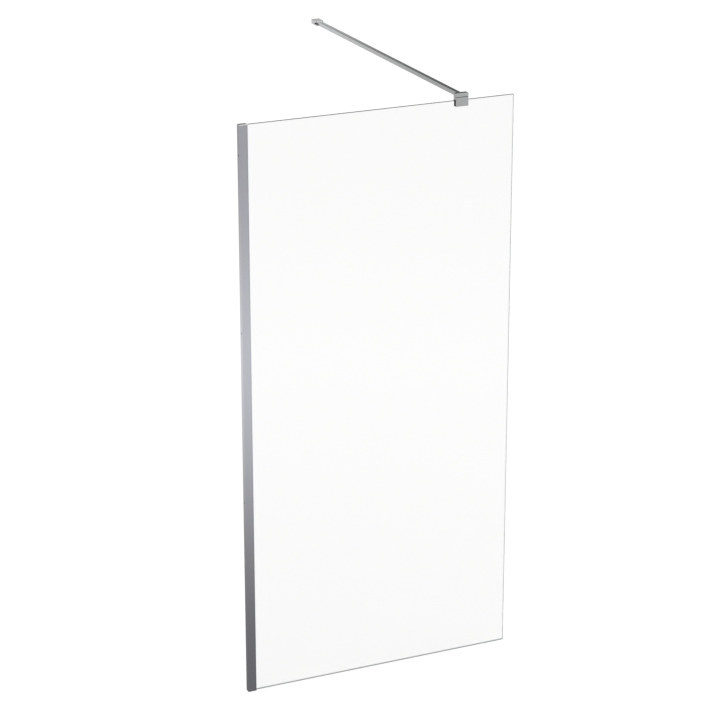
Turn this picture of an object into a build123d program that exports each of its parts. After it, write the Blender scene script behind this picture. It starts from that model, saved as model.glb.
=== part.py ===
from build123d import *
import os

# Walk-in shower screen: a clear pane in a two-part wall profile, held at its top edge by a clamp
# on a square bar that runs to a swivelling wall bracket. All sizes are in millimetres.
# X runs along the glass from the wall, Y across it towards the wall that the bar reaches, Z up.
# The origin is on the wall face, in the middle of the glass, at floor level.

# Pane
glass_height = 2000.0
screen_width = 980.0  # wall face to free edge, with the profile pushed home
glass_thickness = 8.0
glass_arris = 0.8  # ground bevel on every edge

# Wall channel, the outer half of the profile
profile_width = 29.0  # wall face to the mouth of the glass channel
profile_depth = 20.0
wall_web = 1.8
wall_flange = 1.6
profile_edge_radius = 0.4
wall_hole_radius = 2.75
wall_hole_end_distance = 100.0
wall_hole_inner_spacing = 600.0
drill_groove_width = 2.0
drill_groove_depth = 0.4

# Glass channel, the inner half, which slides in the wall channel
channel_running_gap = 0.1
head_room = 3.2  # between the two webs, for the wall screws' heads
glass_channel_wall = 1.4
lip_length = 1.9
packer_thickness = 2.6
packer_length = 80.0
packer_clearance = 0.1
packer_end_distance = 120.0
packer_count = 3

# Glazing seals
seal_glass_gap = 0.05
seal_channel_gap = 0.05
seal_tooth_height = 0.5
seal_tooth_pitch = 3.5
seal_tooth_count = 4
seal_tail_gap = 1.0  # from the glass edge to the seal's inner end
seal_bead_stand_out = 1.2
seal_bead_overlap = 0.9  # how far the bead covers the channel's mouth
seal_bead_radius = 0.8

# Top cap
cap_thickness = 2.0
cap_edge_radius = 1.2
cap_leg_thickness = 2.6
cap_leg_length = 14.0
cap_leg_width = 5.0
cap_leg_gap = 0.1

# Screws that lock the glass channel in the wall channel, and their caps
lock_screw_radius = 2.0
lock_head_radius = 3.5
lock_head_height = 2.2
lock_head_bevel = 0.9
lock_tip_gap = 0.1
lock_screw_offset = 14.0  # from the wall face
lock_screw_end_distance = 150.0
lock_screw_count = 3
screw_clearance = 0.05
cover_wall = 0.8
cover_gap = 0.4
cover_bevel = 1.2
hex_depth = 1.5
hex_share = 0.42  # hex key size as a share of the head's radius

# Clamp on the glass top edge
clamp_position = 786.5  # wall face to the middle of the clamp
clamp_width = 45.0
clamp_depth = 20.0
clamp_rise = 24.0  # above the glass
clamp_drop = 20.0  # below the glass top edge
clamp_edge_radius = 0.8
pad_thickness = 1.5
pad_inset = 0.6  # above the jaws' lower edges
pad_stand_out = 1.5  # beyond the clamp's sides
jaw_seam_height = 12.0  # above the glass top edge
jaw_seam_gap = 0.9
jaw_seam_bevel = 0.4
jaw_screw_offset = 15.0
jaw_screw_height = 6.0
jaw_screw_radius = 2.0
jaw_head_radius = 3.5
jaw_head_height = 4.0
jaw_head_recess = 0.3
jaw_thread_depth = 3.0
bore_clearance = 0.2
set_screw_radius = 2.5
set_screw_recess = 1.0
set_screw_depth_place = 4.0  # from the clamp's rear face

# Support bar
bar_size = 15.0
bar_wall = 1.5
bar_corner = 1.5
bar_height = 14.25  # bar axis above the glass top edge
bar_socket_depth = 14.0
bar_socket_gap = 0.1
far_wall_distance = 1216.0  # middle of the glass to the wall that carries the bracket

# Tongue in the bar's far end
tongue_width = 14.0
tongue_thickness = 7.0
collar_thickness = 2.0
plug_length = 30.0
plug_gap = 0.1
plug_corner = 0.6
tongue_screw_radius = 2.0
tongue_screw_length = 6.0
tongue_screw_place = 12.0  # from the tube's end

# Swivelling bracket
fork_width = 30.0
fork_height = 17.0
fork_edge_bevel = 0.6
nose_gap = 0.6  # from the fork's round nose to the bar's collar
pin_from_wall = 38.0
pin_radius = 3.0
pin_running_gap = 0.05
pin_head_radius = 5.5
pin_head_height = 2.6
pin_thread_radius = 2.5
pin_thread_length = 3.2
slot_end_gap = 1.0  # behind the round end of the tongue
washer_thickness = 0.5
washer_radius = 6.5
washer_gap = 0.1
base_width = 22.0
base_height = 11.0
base_depth = 14.0
base_gap = 0.15
base_hole_radius = 2.6
base_head_radius = 4.8
base_head_depth = 2.4
fork_set_radius = 2.0
fork_set_recess = 0.3
fork_set_place = 7.0  # from the wall

# Places that follow from the sizes above
half_glass = glass_thickness / 2
half_depth = profile_depth / 2
flange_inside = half_depth - wall_flange
channel_outside = flange_inside - channel_running_gap
channel_inside = channel_outside - glass_channel_wall
channel_web_start = wall_web + head_room
channel_web_end = channel_web_start + glass_channel_wall
glass_start = channel_web_end + packer_thickness
lip_start = profile_width - lip_length
slot_half = half_glass + pad_thickness
half_clamp = clamp_depth / 2
bar_start = half_clamp - bar_socket_depth
pin_place = far_wall_distance - pin_from_wall
collar_end = pin_place - fork_width / 2 - nose_gap
bar_end = collar_end - collar_thickness
half_slot = tongue_thickness / 2 + washer_gap + washer_thickness
lock_hole_radius = lock_screw_radius + screw_clearance
clamp_frame = Pos(clamp_position, 0, glass_height)
bar_frame = Pos(clamp_position, 0, glass_height + bar_height)
pin_frame = Pos(clamp_position, pin_place, glass_height + bar_height)


# Solids between two corners, and round ones along an axis
def block(x0, x1, y0, y1, z0, z1):
    size = Box(x1 - x0, y1 - y0, z1 - z0)
    return Pos((x0 + x1) / 2, (y0 + y1) / 2, (z0 + z1) / 2) * size


def centred_block(width, y0, y1, height):
    return block(-width / 2, width / 2, y0, y1, -height / 2, height / 2)


def rod_x(radius, x0, x1, y, z):
    return Pos((x0 + x1) / 2, y, z) * Rot(0, 90, 0) * Cylinder(radius, x1 - x0)


def rod_y(radius, y0, y1, x, z):
    return Pos(x, (y0 + y1) / 2, z) * Rot(90, 0, 0) * Cylinder(radius, y1 - y0)


def rod_z(radius, z0, z1, x=0.0, y=0.0):
    return Pos(x, y, (z0 + z1) / 2) * Cylinder(radius, z1 - z0)


def hex_recess(radius, depth):
    return extrude(RegularPolygon(radius, 6), amount=depth)


def spread(first, last, count):
    step = (last - first) / (count - 1)
    return [first + step * n for n in range(count)]


# Tube section with round corners, lying along Y
def square_bar(size, corner, y0, y1):
    section = Rot(90, 0, 0) * RectangleRounded(size, size, corner)
    return Pos(0, y0, 0) * extrude(section, amount=y1 - y0, dir=(0, 1, 0))


# Outer channel on the wall, with its screw holes and the groove that guides the drill
def make_wall_channel():
    body = block(0, lip_start, -half_depth, half_depth, 0, glass_height)
    body = fillet(body.edges().filter_by(Axis.Z), profile_edge_radius)
    body -= block(wall_web, lip_start, -flange_inside, flange_inside, 0, glass_height)
    groove = Polyline(
        (wall_web, -drill_groove_width / 2),
        (wall_web, drill_groove_width / 2),
        (wall_web - drill_groove_depth, 0),
        close=True,
    )
    body -= extrude(make_face(groove), amount=glass_height)
    middle = glass_height / 2
    outer = middle - wall_hole_end_distance
    inner = wall_hole_inner_spacing / 2
    for height in (middle - outer, middle - inner, middle + inner, middle + outer):
        body -= rod_x(wall_hole_radius, 0, wall_web, 0, height)
    for height in lock_heights():
        hole = rod_y(lock_hole_radius, flange_inside, half_depth, lock_screw_offset, height)
        body -= hole
    return body


def lock_heights():
    return spread(lock_screw_end_distance, glass_height - lock_screw_end_distance, lock_screw_count)


# Inner channel, with lips that cover the wall channel's flange ends
def make_glass_channel():
    body = block(channel_web_start, profile_width, -channel_outside, channel_outside, 0, glass_height)
    lip = block(lip_start, profile_width, -half_depth, half_depth, 0, glass_height)
    mouth_edges = lip.edges().filter_by(Axis.Z).group_by(Axis.X)[-1]
    body += fillet(mouth_edges, profile_edge_radius)
    body -= block(channel_web_end, profile_width, -channel_inside, channel_inside, 0, glass_height)
    return body


# Blocks that keep the glass edge off the channel web
def make_edge_packers():
    first = packer_end_distance + packer_length / 2
    packers = []
    for height in spread(first, glass_height - first, packer_count):
        packers.append(
            block(
                channel_web_end,
                glass_start,
                -channel_inside + packer_clearance,
                channel_inside - packer_clearance,
                height - packer_length / 2,
                height + packer_length / 2,
            )
        )
    return packers


# One glazing seal: flat on the glass, toothed against the channel, with a bead at the mouth
def make_seal(side):
    near = half_glass + seal_glass_gap
    far = channel_inside - seal_channel_gap
    root = far - seal_tooth_height
    tail = glass_start + seal_tail_gap
    bead_end = profile_width + seal_bead_stand_out
    points = [(tail, near), (bead_end, near), (bead_end, far + seal_bead_overlap)]
    points += [(profile_width, far + seal_bead_overlap), (profile_width, far)]
    for tooth in range(seal_tooth_count):
        crest = profile_width - tooth * seal_tooth_pitch
        points += [(crest - seal_tooth_pitch / 2, far), (crest - seal_tooth_pitch, root)]
    points += [(tail, root)]
    section = make_face(Polyline(*points, close=True))
    bead_corner = section.vertices().group_by(Axis.X)[-1].sort_by(Axis.Y)[-1]
    section = fillet(bead_corner, seal_bead_radius)
    seal = extrude(section, amount=glass_height)
    return seal if side > 0 else mirror(seal, about=Plane.XZ)


# Toughened pane with a ground bevel on every edge
def make_glass_pane():
    pane = block(glass_start, screen_width, -half_glass, half_glass, 0, glass_height)
    return chamfer(pane.edges(), glass_arris)


# Cover over the top end of both channels, on legs that stand in the space behind the inner web
def make_top_cap():
    top = glass_height + cap_thickness
    plate = block(0, profile_width, -half_depth, half_depth, glass_height, top)
    upper_edges = plate.edges().group_by(Axis.Z)[-1]
    plate = fillet(upper_edges, cap_edge_radius)
    leg_outside = flange_inside - cap_leg_gap
    leg_start = wall_web + cap_leg_gap
    leg_end = leg_start + cap_leg_thickness
    for side in (-1, 1):
        y_pair = sorted((side * leg_outside, side * (leg_outside - cap_leg_width)))
        plate += block(leg_start, leg_end, *y_pair, glass_height - cap_leg_length, glass_height)
    return plate


# Button-head screws in the rear flange, whose tips bear on the glass channel
def make_locking_screws():
    screws = []
    for height in lock_heights():
        tip = channel_outside + lock_tip_gap
        screw = rod_y(lock_screw_radius, tip, half_depth, lock_screw_offset, height)
        head = Cylinder(lock_head_radius, lock_head_height)
        head = chamfer(head.edges().group_by(Axis.Z)[-1], lock_head_bevel)
        key = hex_recess(lock_head_radius * hex_share, hex_depth)
        head -= Pos(0, 0, lock_head_height / 2 - hex_depth) * key
        place = Pos(lock_screw_offset, half_depth + lock_head_height / 2, height) * Rot(-90, 0, 0)
        screws.append(screw + place * head)
    return screws


# Snap caps over the heads of the locking screws
def make_locking_screw_caps():
    outside = lock_head_radius + cover_gap + cover_wall
    rise = lock_head_height + cover_gap + cover_wall
    shell = Pos(0, 0, rise / 2) * Cylinder(outside, rise)
    shell = chamfer(shell.edges().group_by(Axis.Z)[-1], cover_bevel)
    inside = Cylinder(outside - cover_wall, rise - cover_wall)
    inside = chamfer(inside.edges().group_by(Axis.Z)[-1], cover_bevel - cover_wall / 2)
    shell -= Pos(0, 0, (rise - cover_wall) / 2) * inside
    caps = []
    for height in lock_heights():
        caps.append(Pos(lock_screw_offset, half_depth, height) * Rot(-90, 0, 0) * shell)
    return caps


# Outer form of the closed clamp, from which its body and its front jaw are cut
def clamp_form():
    form = block(-clamp_width / 2, clamp_width / 2, -half_clamp, half_clamp, -clamp_drop, clamp_rise)
    return fillet(form.edges(), clamp_edge_radius)


def jaw_space(top):
    return block(-clamp_width, clamp_width, -clamp_depth, -slot_half, -2 * clamp_drop, top)


# Bar socket and rear jaw in one block
def make_clamp_body():
    body = clamp_form() - jaw_space(jaw_seam_height)
    front_edges = body.edges().filter_by(Axis.X).group_by(Axis.Y)[0]
    body = chamfer(front_edges.sort_by(Axis.Z)[0], jaw_seam_bevel)
    body -= block(-clamp_width, clamp_width, -slot_half, slot_half, -2 * clamp_drop, pad_thickness)
    socket = square_bar(bar_size + 2 * bar_socket_gap, bar_corner, bar_start, half_clamp)
    body -= Pos(0, 0, bar_height) * socket
    for side in (-1, 1):
        x = side * jaw_screw_offset
        body -= rod_y(jaw_screw_radius + bore_clearance, -slot_half, half_clamp, x, jaw_screw_height)
        seat = half_clamp - jaw_head_height - jaw_head_recess
        body -= rod_y(jaw_head_radius + bore_clearance, seat, half_clamp, x, jaw_screw_height)
    set_y = half_clamp - set_screw_depth_place
    body -= rod_x(set_screw_radius + screw_clearance, bar_size / 2, clamp_width / 2, set_y, bar_height)
    return clamp_frame * body


# Plate that the two screws pull against the glass
def make_clamp_front_jaw():
    jaw = clamp_form() & jaw_space(jaw_seam_height - jaw_seam_gap)
    upper_edges = jaw.edges().filter_by(Axis.X).group_by(Axis.Z)[-1]
    jaw = chamfer(upper_edges.sort_by(Axis.Y)[0], jaw_seam_bevel)
    hole_radius = jaw_screw_radius + screw_clearance
    hole_end = -slot_half - jaw_thread_depth
    for side in (-1, 1):
        jaw -= rod_y(hole_radius, hole_end, -slot_half, side * jaw_screw_offset, jaw_screw_height)
    return clamp_frame * jaw


def make_jaw_pad(side):
    half_width = clamp_width / 2 + pad_stand_out
    y_pair = sorted((side * half_glass, side * slot_half))
    return clamp_frame * block(-half_width, half_width, *y_pair, -clamp_drop + pad_inset, 0)


def make_top_edge_pad():
    half_width = clamp_width / 2 + pad_stand_out
    return clamp_frame * block(-half_width, half_width, -slot_half, slot_half, 0, pad_thickness)


# Socket-head screws from the rear into the front jaw
def make_jaw_screws():
    seat = half_clamp - jaw_head_height - jaw_head_recess
    tip = -slot_half - jaw_thread_depth + screw_clearance
    screws = []
    for side in (-1, 1):
        x = side * jaw_screw_offset
        screw = rod_y(jaw_screw_radius, tip, seat, x, jaw_screw_height)
        screw += rod_y(jaw_head_radius, seat, seat + jaw_head_height, x, jaw_screw_height)
        key = Rot(90, 0, 0) * hex_recess(jaw_head_radius * hex_share, hex_depth)
        screw -= Pos(x, seat + jaw_head_height, jaw_screw_height) * key
        screws.append(clamp_frame * screw)
    return screws


# Grub screw through the clamp's side onto the bar
def make_bar_set_screw():
    set_y = half_clamp - set_screw_depth_place
    tip = bar_size / 2
    end = clamp_width / 2 - set_screw_recess
    screw = rod_x(set_screw_radius, tip, end, set_y, bar_height)
    key = Rot(0, -90, 0) * hex_recess(set_screw_radius * hex_share, hex_depth)
    return clamp_frame * (screw - Pos(end, set_y, bar_height) * key)


def make_support_bar():
    tube = square_bar(bar_size, bar_corner, bar_start, bar_end)
    inside = bar_size - 2 * bar_wall
    tube -= square_bar(inside, plug_corner, bar_start, bar_end)
    hole_radius = tongue_screw_radius + screw_clearance
    tube -= rod_z(hole_radius, -bar_size / 2, 0, 0, bar_end - tongue_screw_place)
    return bar_frame * tube


# Plug in the tube, collar over its end, and the tongue that turns on the pin
def make_bar_end_tongue():
    plug_size = bar_size - 2 * bar_wall - 2 * plug_gap
    piece = square_bar(plug_size, plug_corner, bar_end - plug_length, bar_end)
    piece += square_bar(bar_size, bar_corner, bar_end, collar_end)
    piece += centred_block(tongue_width, collar_end, pin_place, tongue_thickness)
    half = tongue_thickness / 2
    piece += rod_z(tongue_width / 2, -half, half, 0, pin_place)
    piece -= rod_z(pin_radius + pin_running_gap, -half, half, 0, pin_place)
    hole_top = -bar_size / 2 + tongue_screw_length
    hole_radius = tongue_screw_radius + screw_clearance
    piece -= rod_z(hole_radius, -bar_size / 2, hole_top, 0, bar_end - tongue_screw_place)
    return bar_frame * piece


def make_tongue_screw():
    screw = rod_z(tongue_screw_radius, -bar_size / 2, -bar_size / 2 + tongue_screw_length)
    screw -= Pos(0, 0, -bar_size / 2) * hex_recess(tongue_screw_radius * hex_share, hex_depth)
    return bar_frame * Pos(0, bar_end - tongue_screw_place, 0) * screw


# Block with two ears round the tongue, and a socket at the back for the base
def make_bracket_fork():
    half_width = fork_width / 2
    half_height = fork_height / 2
    form = block(-half_width, half_width, 0, pin_from_wall, -half_height, half_height)
    form += rod_z(half_width, -half_height, half_height)
    level_faces = form.faces().sort_by(Axis.Z)
    form = chamfer(level_faces[0].edges() + level_faces[-1].edges(), fork_edge_bevel)
    slot_end = tongue_width / 2 + slot_end_gap
    form -= block(-fork_width, fork_width, -fork_width, slot_end, -half_slot, half_slot)
    socket_start = pin_from_wall - base_depth - base_gap
    socket_width = base_width + 2 * base_gap
    form -= centred_block(socket_width, socket_start, pin_from_wall, base_height + 2 * base_gap)
    form -= rod_z(pin_radius + pin_running_gap, -half_height, -half_slot)
    cone = Cone(pin_head_radius, pin_radius, pin_head_height)
    form -= Pos(0, 0, -half_height + pin_head_height / 2) * cone
    thread_end = half_slot + pin_thread_length + screw_clearance
    form -= rod_z(pin_thread_radius + screw_clearance, half_slot, thread_end)
    set_y = pin_from_wall - fork_set_place
    form -= rod_z(fork_set_radius + screw_clearance, -half_height, 0, 0, set_y)
    return pin_frame * form


# Countersunk shoulder screw from below, the axle of the swivel
def make_pivot_screw():
    half_height = fork_height / 2
    head_top = -half_height + pin_head_height
    head_gap = pin_running_gap
    cone = Cone(pin_head_radius - head_gap, pin_radius - head_gap, pin_head_height)
    screw = Pos(0, 0, -half_height + pin_head_height / 2) * cone
    screw += rod_z(pin_radius, head_top - head_gap, half_slot)
    screw += rod_z(pin_thread_radius, half_slot, half_slot + pin_thread_length)
    screw -= Pos(0, 0, -half_height) * hex_recess(pin_radius * 2 * hex_share, hex_depth)
    return pin_frame * screw


def make_pivot_washers():
    ring = Cylinder(washer_radius, washer_thickness)
    ring -= Cylinder(pin_radius + pin_running_gap, washer_thickness)
    height = half_slot - washer_thickness / 2
    return [pin_frame * Pos(0, 0, side * height) * ring for side in (-1, 1)]


# Block on the wall that the fork slides over
def make_bracket_base():
    start = pin_from_wall - base_depth
    base = centred_block(base_width, start, pin_from_wall, base_height)
    base -= rod_y(base_hole_radius, start, pin_from_wall, 0, 0)
    sink = Cone(base_head_radius, base_hole_radius, base_head_depth)
    base -= Pos(0, start + base_head_depth / 2, 0) * Rot(-90, 0, 0) * sink
    return pin_frame * base


def make_fork_set_screw():
    outer = -fork_height / 2 + fork_set_recess
    inner = -base_height / 2
    screw = rod_z(fork_set_radius, outer, inner)
    screw -= Pos(0, 0, outer) * hex_recess(fork_set_radius * hex_share, hex_depth)
    return pin_frame * Pos(0, pin_from_wall - fork_set_place, 0) * screw


nodes = {
    "wall_channel": make_wall_channel(),
    "top_cap": make_top_cap(),
    "locking_screws": make_locking_screws(),
    "locking_screw_caps": make_locking_screw_caps(),
    "glass_channel": make_glass_channel(),
    "edge_packers": make_edge_packers(),
    "front_glazing_seal": make_seal(-1),
    "rear_glazing_seal": make_seal(1),
    "glass_pane": make_glass_pane(),
    "clamp_body": make_clamp_body(),
    "clamp_front_jaw": make_clamp_front_jaw(),
    "front_jaw_pad": make_jaw_pad(-1),
    "rear_jaw_pad": make_jaw_pad(1),
    "top_edge_pad": make_top_edge_pad(),
    "jaw_screws": make_jaw_screws(),
    "bar_set_screw": make_bar_set_screw(),
    "support_bar": make_support_bar(),
    "bar_end_tongue": make_bar_end_tongue(),
    "tongue_screw": make_tongue_screw(),
    "bracket_fork": make_bracket_fork(),
    "pivot_screw": make_pivot_screw(),
    "pivot_washers": make_pivot_washers(),
    "bracket_base": make_bracket_base(),
    "fork_set_screw": make_fork_set_screw(),
}

os.makedirs("parts", exist_ok=True)
for name, shape in nodes.items():
    solids = shape if isinstance(shape, list) else [shape]
    export_step(Compound(children=[s for piece in solids for s in piece.solids()]), f"parts/{name}.step")
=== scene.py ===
import bpy
import math
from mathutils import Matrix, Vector


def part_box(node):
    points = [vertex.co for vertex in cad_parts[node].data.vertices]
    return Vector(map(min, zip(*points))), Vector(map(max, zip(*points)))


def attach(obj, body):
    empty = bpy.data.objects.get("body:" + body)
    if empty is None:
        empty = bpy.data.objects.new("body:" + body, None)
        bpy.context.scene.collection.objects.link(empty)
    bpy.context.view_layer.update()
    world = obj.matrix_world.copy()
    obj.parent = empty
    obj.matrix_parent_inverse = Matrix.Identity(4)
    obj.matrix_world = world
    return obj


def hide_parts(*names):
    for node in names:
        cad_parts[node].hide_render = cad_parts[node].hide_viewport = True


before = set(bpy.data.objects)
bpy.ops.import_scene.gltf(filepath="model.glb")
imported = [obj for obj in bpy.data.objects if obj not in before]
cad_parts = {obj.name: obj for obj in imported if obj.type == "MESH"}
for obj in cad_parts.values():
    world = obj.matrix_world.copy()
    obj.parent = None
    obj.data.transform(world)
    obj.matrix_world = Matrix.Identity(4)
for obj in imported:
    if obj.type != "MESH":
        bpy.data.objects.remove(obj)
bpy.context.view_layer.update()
print("frame loaded:", len(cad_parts), "nodes")

# The camera's place comes from the pane's and the profile's edges in the photograph
camera = {
    "place": (-2.8942, -7.4156, 4.1181),  # m
    "downTilt": 20.178,  # degrees
    "turn": 24.182,  # degrees, from +Y to the right
    "lens": 128.21,  # mm
    "sensor": 36.0,
    "far": 200.0,
}


def setCamera():
    data = bpy.data.cameras.new("photoCamera")
    data.lens = camera["lens"]
    data.sensor_width = camera["sensor"]
    data.clip_end = camera["far"]
    view = bpy.data.objects.new("photoCamera", data)
    view.location = camera["place"]
    view.rotation_euler = (math.radians(90 - camera["downTilt"]), 0, -math.radians(camera["turn"]))
    bpy.context.scene.collection.objects.link(view)
    bpy.context.scene.camera = view


setCamera()
print("camera set")


# An output of a node, with arithmetic that adds Math nodes
class Wire:
    def __init__(self, sheet, socket):
        self.sheet = sheet
        self.socket = socket

    def __add__(self, other):
        return self.sheet.math("ADD", self, other)

    def __radd__(self, other):
        return self.sheet.math("ADD", other, self)

    def __sub__(self, other):
        return self.sheet.math("SUBTRACT", self, other)

    def __rsub__(self, other):
        return self.sheet.math("SUBTRACT", other, self)

    def __mul__(self, other):
        return self.sheet.math("MULTIPLY", self, other)

    def __rmul__(self, other):
        return self.sheet.math("MULTIPLY", other, self)

    def __gt__(self, other):
        return self.sheet.math("GREATER_THAN", self, other)

    def __lt__(self, other):
        return self.sheet.math("LESS_THAN", self, other)


# The nodes of one material or of the world
class NodeSheet:
    def __init__(self, owner):
        owner.use_nodes = True
        self.owner = owner
        self.tree = owner.node_tree

    def feed(self, socket, value):
        if isinstance(value, Wire):
            self.tree.links.new(value.socket, socket)
        else:
            socket.default_value = value

    # Settings come first, then the sockets' values or links; out picks the output
    def node(self, kind, settings=None, sockets=None, out=0):
        made = self.tree.nodes.new(kind)
        for name, value in (settings or {}).items():
            if name == "stops":
                self.setStops(made.color_ramp.elements, value)
            else:
                setattr(made, name, value)
        for name, value in (sockets or {}).items():
            self.feed(made.inputs[name], value)
        return Wire(self, made.outputs[out])

    def setStops(self, elements, stops):
        while len(elements) < len(stops):
            elements.new(1.0)
        for element, (place, grey) in zip(elements, stops):
            element.position = place
            element.color = (grey, grey, grey, 1.0)

    def math(self, operation, first, second=0.0):
        return self.node("ShaderNodeMath", {"operation": operation}, {0: first, 1: second})

    def absolute(self, value):
        return self.math("ABSOLUTE", value)

    def between(self, value, low, high):
        limits = {"Value": value, "From Min": low, "From Max": high}
        return self.node("ShaderNodeMapRange", {"clamp": True}, limits)

    def mixColour(self, factor, first, second):
        sockets = {0: factor, 6: (*first, 1.0) if isinstance(first, tuple) else first}
        sockets[7] = (*second, 1.0) if isinstance(second, tuple) else second
        return self.node("ShaderNodeMix", {"data_type": "RGBA"}, sockets, 2)

    def objectPlace(self):
        return self.node("ShaderNodeTexCoord", out="Object")

    def axis(self, name):
        return self.node("ShaderNodeSeparateXYZ", None, {0: self.objectPlace()}, name)

    # How far the surface faces up, from -1 to 1
    def rise(self):
        normal = self.node("ShaderNodeNewGeometry", out="Normal")
        return self.node("ShaderNodeSeparateXYZ", None, {0: normal}, "Z")

    def noise(self, scale, detail=2.0, roughness=0.5):
        place = self.objectPlace()
        if isinstance(scale, tuple):
            place = self.node("ShaderNodeMapping", None, {"Vector": place, "Scale": scale})
            scale = 1.0
        sockets = {"Vector": place, "Scale": scale, "Detail": detail, "Roughness": roughness}
        return self.node("ShaderNodeTexNoise", None, sockets)

    def bump(self, height, distance, strength=1.0):
        sockets = {"Height": height, "Distance": distance, "Strength": strength}
        return self.node("ShaderNodeBump", None, sockets)


# A material with one main shader
class Finish(NodeSheet):
    def __init__(self, name):
        super().__init__(bpy.data.materials.new(name))
        self.shader = self.tree.nodes["Principled BSDF"]

    def set(self, **values):
        for name, value in values.items():
            socket = self.shader.inputs[name.replace("_", " ")]
            if isinstance(value, tuple):
                value = (*value, 1.0)
            self.feed(socket, value)
        return self

    def cover(self, *nodeNames):
        for name in nodeNames:
            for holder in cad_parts[name].material_slots:
                holder.material = self.owner

    def coat(self, piece):
        piece.data.materials.clear()
        piece.data.materials.append(self.owner)


# Studio: a white floor and world, soft lamps, and cards that only reflections see
studio = {
    "floorSize": 160.0,  # m
    "floorDrop": 0.0008,
    "floorColour": 0.22,
    "floorGlow": 0.83,
    "floorRoughness": 0.9,
    "worldWhite": 1.04,
    "worldLight": 0.95,
    "horizonGrey": 0.62,
    "overheadWhite": 1.7,
    "horizonRise": 0.25,  # share of straight up where the horizon's grey ends
    "overheadRise": 0.8,
    "cardSize": 26.0,
    "cardReach": 13.0,  # m, where the last stop of the ring of greys lies
    "skirtCentre": (0.5, 0.0),
    "skirtHalf": 3.0,
    "skirtLow": 2.30,
    "skirtHigh": 5.20,
}
keyLamp = {"place": (-3.5, -4.0, 5.0), "aim": (0.0, 0.0, 1.0), "size": 3.0, "power": 60.0}
# Greys of the reflected floor by distance from the screen, in metres
floorGreys = [
    (0.0, 0.215),
    (0.55, 0.25),
    (1.3, 0.385),
    (2.1, 0.68),
    (3.3, 0.965),
    (4.2, 0.86),
    (5.4, 0.635),
    (6.6, 0.485),
    (8.0, 0.43),
    (10.0, 0.72),
    (13.0, 0.80),
]
# Greys of the skirt by height, in metres
skirtGreys = [
    (2.30, 0.80),
    (2.46, 0.55),
    (2.56, 0.33),
    (2.70, 0.20),
    (2.85, 0.11),
    (3.40, 0.09),
    (5.20, 0.30),
]


def seenOnlyByReflections(card):
    card.visible_camera = False
    card.visible_diffuse = False
    card.visible_transmission = False
    card.visible_shadow = False
    card.visible_volume_scatter = False


def glowing(name, place, low, high, greys):
    sheet = NodeSheet(bpy.data.materials.new(name))
    share = sheet.between(place(sheet), low, high)
    stops = [((at - low) / (high - low), grey) for at, grey in greys]
    colour = sheet.node("ShaderNodeValToRGB", {"stops": stops}, {0: share})
    light = sheet.node("ShaderNodeEmission", None, {"Color": colour})
    sheet.feed(sheet.tree.nodes["Material Output"].inputs[0], light)
    return sheet.owner


def addFloor():
    bpy.ops.mesh.primitive_plane_add(size=studio["floorSize"], location=(0, 0, -studio["floorDrop"]))
    floor = bpy.context.object
    floor.name = "floor"
    floor.visible_glossy = False
    paper = Finish("paper")
    tone = (studio["floorColour"],) * 3
    paper.set(Base_Color=tone, Roughness=studio["floorRoughness"], Specular_IOR_Level=0.0)
    paper.set(Emission_Color=(1.0, 1.0, 1.0), Emission_Strength=studio["floorGlow"])
    floor.data.materials.append(paper.owner)


faceUp = 0.9  # a face counts as level when its normal rises by this share


def addReflectionCards():
    bpy.ops.mesh.primitive_plane_add(size=studio["cardSize"], location=(0, 0, -2 * studio["floorDrop"]))
    card = bpy.context.object
    card.name = "reflectedFloor"
    reach = studio["cardReach"]

    def distance(sheet):
        return sheet.node("ShaderNodeVectorMath", {"operation": "LENGTH"}, {0: sheet.objectPlace()}, "Value")

    card.data.materials.append(glowing("floorGreys", distance, 0.0, reach, floorGreys))
    seenOnlyByReflections(card)
    low = studio["skirtLow"]
    high = studio["skirtHigh"]
    bpy.ops.mesh.primitive_cube_add(size=1.0, location=(*studio["skirtCentre"], (low + high) / 2))
    skirt = bpy.context.object
    skirt.name = "reflectedSkirt"
    skirt.scale = (2 * studio["skirtHalf"], 2 * studio["skirtHalf"], high - low)
    bpy.ops.object.transform_apply(location=True, rotation=False, scale=True)
    bpy.ops.object.mode_set(mode="EDIT")
    bpy.ops.mesh.select_mode(type="FACE")
    bpy.ops.mesh.select_all(action="DESELECT")
    bpy.ops.object.mode_set(mode="OBJECT")
    for face in skirt.data.polygons:
        face.select = abs(face.normal.z) > faceUp
    bpy.ops.object.mode_set(mode="EDIT")
    bpy.ops.mesh.delete(type="ONLY_FACE")
    bpy.ops.object.mode_set(mode="OBJECT")
    skirt.data.materials.append(glowing("skirtGreys", lambda sheet: sheet.axis("Z"), low, high, skirtGreys))
    seenOnlyByReflections(skirt)


def lightWorld():
    world = bpy.data.worlds.new("studioWorld")
    bpy.context.scene.world = world
    sheet = NodeSheet(world)
    path = sheet.node("ShaderNodeLightPath", out="Is Glossy Ray")
    direct = sheet.node("ShaderNodeLightPath", out="Is Diffuse Ray")
    way = sheet.node("ShaderNodeTexCoord", out="Generated")
    up = sheet.node("ShaderNodeSeparateXYZ", None, {0: way}, "Z")
    grey = studio["horizonGrey"]
    rise = sheet.between(up, studio["horizonRise"], studio["overheadRise"])
    reflected = rise * (studio["overheadWhite"] - grey) + grey
    white = studio["worldWhite"]
    seen = direct * (studio["worldLight"] - white) + white
    strength = path * reflected + (1 - path) * seen
    background = sheet.tree.nodes["Background"]
    background.inputs["Color"].default_value = (1, 1, 1, 1)
    sheet.feed(background.inputs["Strength"], strength)


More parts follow.
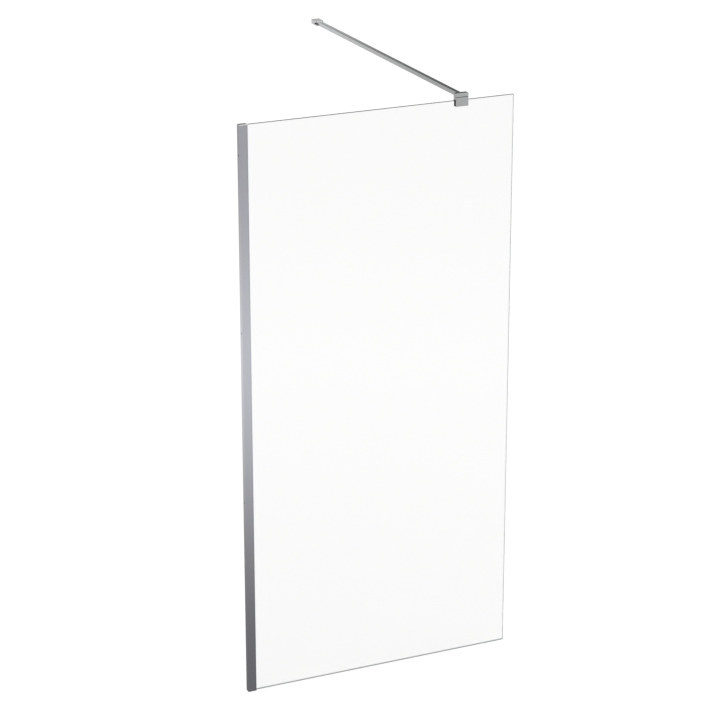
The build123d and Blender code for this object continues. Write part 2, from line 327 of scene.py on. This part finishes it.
def addKeyLamp():
    data = bpy.data.lights.new("keyLamp", "AREA")
    data.size = keyLamp["size"]
    data.energy = keyLamp["power"]
    lamp = bpy.data.objects.new("keyLamp", data)
    lamp.location = keyLamp["place"]
    way = Vector(keyLamp["aim"]) - lamp.location
    lamp.rotation_euler = way.to_track_quat("-Z", "Y").to_euler()
    lamp.visible_glossy = False
    bpy.context.scene.collection.objects.link(lamp)


def lightStudio():
    lightWorld()
    addFloor()
    addReflectionCards()
    addKeyLamp()
    bpy.context.scene.view_settings.view_transform = "Standard"


bpy.ops.object.select_all(action="DESELECT")
lightStudio()
print("studio lit")

hair = 0.00001  # m, the least difference of two places


# Selects faces by a test, and stays in edit mode
def selectFaces(piece, wanted):
    bpy.ops.object.mode_set(mode="EDIT")
    bpy.ops.mesh.select_mode(type="FACE")
    bpy.ops.mesh.select_all(action="DESELECT")
    bpy.ops.object.mode_set(mode="OBJECT")
    for face in piece.data.polygons:
        face.select = wanted(face)
    bpy.ops.object.mode_set(mode="EDIT")


# A new cylinder on the Z axis between two heights, with its place in its mesh
def addTurned(sides, radius, bottom, top):
    bpy.ops.object.select_all(action="DESELECT")
    middle = (0, 0, (bottom + top) / 2)
    bpy.ops.mesh.primitive_cylinder_add(vertices=sides, radius=radius, depth=top - bottom, location=middle)
    bpy.ops.object.transform_apply(location=True, rotation=True, scale=True)
    return bpy.context.object


# Turns a piece's Z axis to the rear and sets it down, with its place in its mesh
def standOnRear(piece, place):
    bpy.ops.object.select_all(action="DESELECT")
    piece.select_set(True)
    bpy.context.view_layer.objects.active = piece
    piece.rotation_euler = (-math.pi / 2, 0, 0)
    piece.location = place
    bpy.ops.object.transform_apply(location=True, rotation=True, scale=True)


def joinAs(name, pieces):
    bpy.ops.object.select_all(action="DESELECT")
    for piece in pieces:
        piece.select_set(True)
    bpy.context.view_layer.objects.active = pieces[0]
    bpy.ops.object.join()
    joined = bpy.context.object
    joined.name = name
    return joined


# Snap caps over the locking screws: a rounded shoulder, a slight crown and a grooved rim
lockingCap = {
    "sides": 56,
    "radius": 0.0047,  # m
    "height": 0.0033,
    "shoulder": 0.0013,
    "shoulderSteps": 6,
    "crownInset": 0.0009,
    "crownRise": 0.0001,
    "grooveLow": 0.0005,
    "grooveHigh": 0.0009,
    "grooveShare": 0.955,
    "smoothAngle": 40,  # degrees
}


def makeLockingCap():
    look = lockingCap
    cap = addTurned(look["sides"], look["radius"], 0, look["height"])
    bpy.ops.object.mode_set(mode="EDIT")
    for height in (look["grooveLow"], look["grooveHigh"]):
        bpy.ops.mesh.select_all(action="SELECT")
        bpy.ops.mesh.bisect(plane_co=(0, 0, height), plane_no=(0, 0, 1))
    groove = (look["grooveLow"] + look["grooveHigh"]) / 2
    selectFaces(cap, lambda face: abs(face.center.z - groove) < hair)
    share = look["grooveShare"]
    bpy.ops.transform.resize(value=(share, share, 1), center_override=(0, 0, 0))
    selectFaces(cap, lambda face: face.normal.z > faceUp)
    bpy.ops.mesh.bevel(offset=look["shoulder"], segments=look["shoulderSteps"], affect="EDGES")
    top = look["height"] - hair
    selectFaces(cap, lambda face: face.normal.z > faceUp and face.center.z > top)
    bpy.ops.mesh.inset(thickness=look["crownInset"])
    bpy.ops.transform.translate(value=(0, 0, look["crownRise"]))
    bpy.ops.object.mode_set(mode="OBJECT")
    bpy.ops.object.shade_smooth_by_angle(angle=math.radians(look["smoothAngle"]))
    return cap


def addLockingCaps():
    low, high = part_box("locking_screw_caps")
    radius = lockingCap["radius"]
    middle = (low + high) / 2
    caps = []
    for height in (low.z + radius, middle.z, high.z - radius):
        cap = makeLockingCap()
        standOnRear(cap, (middle.x, low.y, height))
        caps.append(cap)
    caps = joinAs("lockingCaps", caps)
    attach(caps, "wall_profile")
    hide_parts("locking_screw_caps")
    return caps


# Socket-head screws that close the clamp: a knurled head, a chamfered rim and a hexagon socket
jawScrew = {
    "knurls": 36,
    "knurlShare": 0.96,
    "headRadius": 0.0035,  # m
    "headHeight": 0.0040,
    "sideHighlight": 0.0004,
    "shankRadius": 0.0020,
    "threadPitch": 0.0007,
    "threadShare": 0.86,
    "threadLength": 0.0056,
    "socketRadius": 0.00173,
    "socketDepth": 0.0018,
    "socketPoint": 0.0005,
    "socketPointShare": 0.3,
    "shankSides": 32,
    "smoothAngle": 18,  # degrees
}


def makeJawScrew(length):
    look = jawScrew
    radius = look["headRadius"]
    knurlTop = look["headHeight"] - look["sideHighlight"]
    head = addTurned(2 * look["knurls"], radius, 0, knurlTop)
    bpy.ops.object.mode_set(mode="EDIT")
    bpy.ops.mesh.select_mode(type="EDGE")
    bpy.ops.mesh.select_all(action="DESELECT")
    bpy.ops.object.mode_set(mode="OBJECT")
    corners = head.data.vertices
    turn = math.pi / look["knurls"]
    for edge in head.data.edges:
        first, second = (corners[at].co for at in edge.vertices)
        upright = (first.xy - second.xy).length < hair
        edge.select = upright and round(math.atan2(first.y, first.x) / turn) % 2 == 0
    bpy.ops.object.mode_set(mode="EDIT")
    share = look["knurlShare"]
    bpy.ops.transform.resize(value=(share, share, 1), center_override=(0, 0, 0))
    selectFaces(head, lambda face: face.normal.z > faceUp)
    bpy.ops.mesh.extrude_region_move(TRANSFORM_OT_translate={"value": (0, 0, look["sideHighlight"])})
    share = 1 - look["sideHighlight"] / radius
    bpy.ops.transform.resize(value=(share, share, 1), center_override=(0, 0, 0))
    bpy.ops.object.mode_set(mode="OBJECT")
    floor = look["headHeight"] - look["socketDepth"]
    socket = addTurned(6, look["socketRadius"], floor, 2 * look["headHeight"])
    selectFaces(socket, lambda face: face.normal.z < -faceUp)
    bpy.ops.mesh.extrude_region_move(TRANSFORM_OT_translate={"value": (0, 0, -look["socketPoint"])})
    share = look["socketPointShare"]
    bpy.ops.transform.resize(value=(share, share, 1), center_override=(0, 0, 0))
    bpy.ops.object.mode_set(mode="OBJECT")
    bpy.ops.object.select_all(action="DESELECT")
    head.select_set(True)
    bpy.context.view_layer.objects.active = head
    cut = head.modifiers.new("socket", "BOOLEAN")
    cut.object = socket
    cut.operation = "DIFFERENCE"
    cut.solver = "EXACT"
    bpy.ops.object.modifier_apply(modifier=cut.name)
    bpy.data.objects.remove(socket)
    shank = addTurned(look["shankSides"], look["shankRadius"], -length, look["sideHighlight"] / 4)
    bpy.ops.object.mode_set(mode="EDIT")
    rings = int(look["threadLength"] / look["threadPitch"])
    heights = [-length + look["threadPitch"] * (step + 1) / 2 for step in range(2 * rings)]
    for height in heights:
        bpy.ops.mesh.select_all(action="SELECT")
        bpy.ops.mesh.bisect(plane_co=(0, 0, height), plane_no=(0, 0, 1))
    roots = heights[::2]
    bpy.ops.mesh.select_mode(type="EDGE")
    bpy.ops.mesh.select_all(action="DESELECT")
    bpy.ops.object.mode_set(mode="OBJECT")
    corners = shank.data.vertices
    for edge in shank.data.edges:
        first, second = (corners[at].co for at in edge.vertices)
        level = abs(first.z - second.z) < hair
        edge.select = level and min(abs(first.z - root) for root in roots) < hair
    bpy.ops.object.mode_set(mode="EDIT")
    share = look["threadShare"]
    bpy.ops.transform.resize(value=(share, share, 1), center_override=(0, 0, 0))
    bpy.ops.object.mode_set(mode="OBJECT")
    screw = joinAs("jawScrew", [head, shank])
    bpy.ops.object.shade_smooth_by_angle(angle=math.radians(look["smoothAngle"]))
    return screw


def addJawScrews():
    low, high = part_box("jaw_screws")
    radius = jawScrew["headRadius"]
    height = (low.z + high.z) / 2
    seat = high.y - jawScrew["headHeight"]
    screws = []
    for along in (low.x + radius, high.x - radius):
        screw = makeJawScrew(seat - low.y)
        standOnRear(screw, (along, seat, height))
        screws.append(screw)
    screws = joinAs("jawScrews", screws)
    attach(screws, "clamp")
    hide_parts("jaw_screws")
    return screws


lockingCaps = addLockingCaps()
print("locking caps made")
jawScrews = addJawScrews()
print("jaw screws made")


# Extruded, bright anodised aluminium
profileMetal = {
    "colour": (0.616, 0.618, 0.672),
    "roughness": 0.15,
    "lineScale": (2600.0, 2600.0, 2.2),  # per metre; die lines run up the profile
    "lineDepth": 0.0000018,
    "lineShade": 0.94,
    "lineRoughness": 0.07,
    "cloudScale": 9.0,
    "cloudRoughness": 0.05,
    "sawScale": (30.0, 2400.0, 30.0),  # saw marks lie across the cut ends
    "sawRoughness": 0.16,
}


def finishProfile():
    finish = Finish("profileMetal")
    look = profileMetal
    lines = finish.noise(look["lineScale"], 2.0, 0.6)
    clouds = finish.noise(look["cloudScale"], 3.0, 0.55)
    saw = finish.noise(look["sawScale"], 1.0)
    cut = finish.absolute(finish.rise()) > faceUp
    shade = tuple(look["lineShade"] * part for part in look["colour"])
    roughness = look["roughness"] + look["lineRoughness"] * lines
    roughness = roughness + look["cloudRoughness"] * clouds + look["sawRoughness"] * cut
    height = lines * (1 - cut) + saw * cut
    finish.set(Base_Color=finish.mixColour(lines, look["colour"], shade), Metallic=1.0)
    finish.set(Roughness=roughness, Normal=finish.bump(height, look["lineDepth"]))
    finish.cover("wall_channel", "glass_channel")


# Cast cover, plated to match, with a painted highlight that makes every face but the top brighter
capMetal = {
    "colour": (0.68, 0.68, 0.70),
    "sideHighlightColour": (0.97, 0.97, 0.97),
    "roughness": 0.26,
    "cloudScale": 60.0,
    "cloudRoughness": 0.08,
    "peelScale": 700.0,
    "peelDepth": 0.000004,
}


def finishCap():
    finish = Finish("capMetal")
    look = capMetal
    peel = finish.noise(look["peelScale"], 2.0)
    clouds = finish.noise(look["cloudScale"], 3.0)
    # painted highlight: faces that don't face up get the brighter colour
    sideHighlight = finish.rise() < faceUp
    finish.set(Base_Color=finish.mixColour(sideHighlight, look["colour"], look["sideHighlightColour"]), Metallic=1.0)
    finish.set(Roughness=look["roughness"] + look["cloudRoughness"] * clouds)
    finish.set(Normal=finish.bump(peel, look["peelDepth"]))
    finish.cover("top_cap")


# Polished chrome, with the faint haze that hands and water leave
brightChrome = {
    "colour": (0.80, 0.805, 0.815),
    "roughness": 0.075,
    "hazeColour": (0.75, 0.757, 0.77),
    "hazeScale": 42.0,
    "hazeStart": 0.42,  # noise level where the haze begins
    "hazeFull": 0.72,
    "hazeRoughness": 0.07,
    "waveScale": 240.0,
    "waveDepth": 0.0000035,
    "seamShadeLow": 2.0106,  # m, the joint across the clamp's front, where painted shade darkens the gap
    "seamShadeHigh": 2.0121,
    "seamShadeFront": -0.004,
    "seamShadeColour": (0.05, 0.05, 0.052),
}


def finishChrome():
    finish = Finish("brightChrome")
    look = brightChrome
    haze = finish.noise(look["hazeScale"], 4.0, 0.62)
    haze = finish.between(haze, look["hazeStart"], look["hazeFull"])
    wave = finish.noise(look["waveScale"], 1.0)
    up = finish.axis("Z")
    # painted shade: a dark band across the clamp's front at the joint, standing in for the shade inside the
    # gap
    seamShade = (up > look["seamShadeLow"]) * (up < look["seamShadeHigh"])
    seamShade = seamShade * (finish.axis("Y") < look["seamShadeFront"])
    tone = finish.mixColour(haze, look["colour"], look["hazeColour"])
    finish.set(Base_Color=finish.mixColour(seamShade, tone, look["seamShadeColour"]), Metallic=1.0)
    finish.set(Roughness=look["roughness"] + look["hazeRoughness"] * haze)
    finish.set(Normal=finish.bump(wave, look["waveDepth"]))
    finish.cover("clamp_body", "clamp_front_jaw", "support_bar", "bar_end_tongue", "bracket_fork")


# Turned stainless screws
screwSteel = {
    "colour": (0.62, 0.61, 0.60),
    "roughness": 0.26,
    "turnScale": 1500.0,
    "turnRoughness": 0.12,
    "turnDepth": 0.000006,
    "nodes": ("locking_screws", "bar_set_screw", "tongue_screw", "pivot_screw", "fork_set_screw"),
}


def finishScrews():
    finish = Finish("screwSteel")
    turning = finish.noise(screwSteel["turnScale"], 1.0)
    finish.set(Base_Color=screwSteel["colour"], Metallic=1.0)
    finish.set(Roughness=screwSteel["roughness"] + screwSteel["turnRoughness"] * turning)
    finish.set(Normal=finish.bump(turning, screwSteel["turnDepth"]))
    finish.cover("jaw_screws", *screwSteel["nodes"])
    finish.coat(jawScrews)


# Die-cast zinc, left as cast
castZinc = {
    "colour": (0.52, 0.53, 0.55),
    "roughness": 0.46,
    "grainScale": 900.0,
    "grainRoughness": 0.1,
    "grainDepth": 0.00002,
}


def finishBase():
    finish = Finish("castZinc")
    grain = finish.noise(castZinc["grainScale"], 3.0, 0.6)
    finish.set(Base_Color=castZinc["colour"], Metallic=1.0)
    finish.set(Roughness=castZinc["roughness"] + castZinc["grainRoughness"] * grain)
    finish.set(Normal=finish.bump(grain, castZinc["grainDepth"]))
    finish.cover("bracket_base")


# Moulded plastics
mouldedPlastics = {
    "capPlastic": {"colour": (0.50, 0.505, 0.52), "roughness": 0.34, "nodes": ("locking_screw_caps",)},
    "packerPlastic": {"colour": (0.70, 0.71, 0.70), "roughness": 0.48, "nodes": ("edge_packers",)},
    "washerNylon": {"colour": (0.78, 0.76, 0.70), "roughness": 0.42, "nodes": ("pivot_washers",)},
}
mouldGrain = {"scale": 1600.0, "roughness": 0.08, "depth": 0.000012}


def finishPlastics():
    for name, look in mouldedPlastics.items():
        finish = Finish(name)
        grain = finish.noise(mouldGrain["scale"], 2.0)
        finish.set(Base_Color=look["colour"])
        finish.set(Roughness=look["roughness"] + mouldGrain["roughness"] * grain)
        finish.set(Normal=finish.bump(grain, mouldGrain["depth"]))
        finish.cover(*look["nodes"])
        if name == "capPlastic":
            finish.coat(lockingCaps)


# Clear soft PVC seals
clearSeal = {
    "colour": (0.80, 0.815, 0.81),
    "roughness": 0.30,
    "cover": 0.55,
    "dragScale": (900.0, 900.0, 12.0),  # drag lines run up the seal
    "dragRoughness": 0.15,
    "dragDepth": 0.00002,
}


def finishSeals():
    finish = Finish("clearSeal")
    drag = finish.noise(clearSeal["dragScale"], 2.0)
    finish.set(Base_Color=clearSeal["colour"], Alpha=clearSeal["cover"])
    finish.set(Roughness=clearSeal["roughness"] + clearSeal["dragRoughness"] * drag)
    finish.set(Normal=finish.bump(drag, clearSeal["dragDepth"]))
    finish.cover("front_glazing_seal", "rear_glazing_seal")


# Black rubber pads
padRubber = {
    "colour": (0.018, 0.018, 0.019),
    "roughness": 0.62,
    "grainScale": 1300.0,
    "grainRoughness": 0.12,
    "grainDepth": 0.00003,
}


def finishPads():
    finish = Finish("padRubber")
    grain = finish.noise(padRubber["grainScale"], 3.0, 0.7)
    finish.set(Base_Color=padRubber["colour"])
    finish.set(Roughness=padRubber["roughness"] + padRubber["grainRoughness"] * grain)
    finish.set(Normal=finish.bump(grain, padRubber["grainDepth"]))
    finish.cover("front_jaw_pad", "rear_jaw_pad", "top_edge_pad")


# Clear toughened glass; its ground edges are finely frosted and a little darker, and the dark band at the
# foot is widened as a painted contact shadow
paneGlass = {
    "colour": (0.935, 0.935, 0.932),
    "bend": 1.5,  # index of refraction
    "shadowTint": (0.93, 0.94, 0.935, 1.0),
    "edgeColour": (0.15, 0.165, 0.165),
    "edgeRoughness": 0.30,
    "edgeWidth": 0.0010,
    "sideShare": 0.85,  # the free edge is ground a little finer
    "footShadowWidth": 0.0023,  # the ground foot, widened by a painted contact shadow where the pane meets the floor
}


def finishGlass():
    finish = Finish("paneGlass")
    low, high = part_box("glass_pane")
    sideHighlight = paneGlass["edgeWidth"]
    along = finish.axis("X")
    up = finish.axis("Z")
    # painted shadow: the dark band at the foot reaches higher than the ground edge, for the contact shadow
    edge = finish.math("MAXIMUM", up < paneGlass["footShadowWidth"], up > high.z - sideHighlight)
    edge = finish.math("MAXIMUM", edge, (along > high.x - sideHighlight) * paneGlass["sideShare"])
    finish.set(Base_Color=finish.mixColour(edge, paneGlass["colour"], paneGlass["edgeColour"]))
    finish.set(Roughness=edge * paneGlass["edgeRoughness"], IOR=paneGlass["bend"], Transmission_Weight=1.0)
    output = finish.tree.nodes["Material Output"].inputs[0]
    shadow = finish.node("ShaderNodeLightPath", out="Is Shadow Ray")
    clear = finish.node("ShaderNodeBsdfTransparent", None, {"Color": paneGlass["shadowTint"]})
    glass = Wire(finish, finish.shader.outputs[0])
    finish.feed(output, finish.node("ShaderNodeMixShader", None, {0: shadow, 1: glass, 2: clear}))
    finish.cover("glass_pane")


for finishPart in (
    finishProfile,
    finishCap,
    finishChrome,
    finishScrews,
    finishBase,
    finishPlastics,
    finishSeals,
    finishPads,
    finishGlass,
):
    finishPart()
print("finishes laid on")
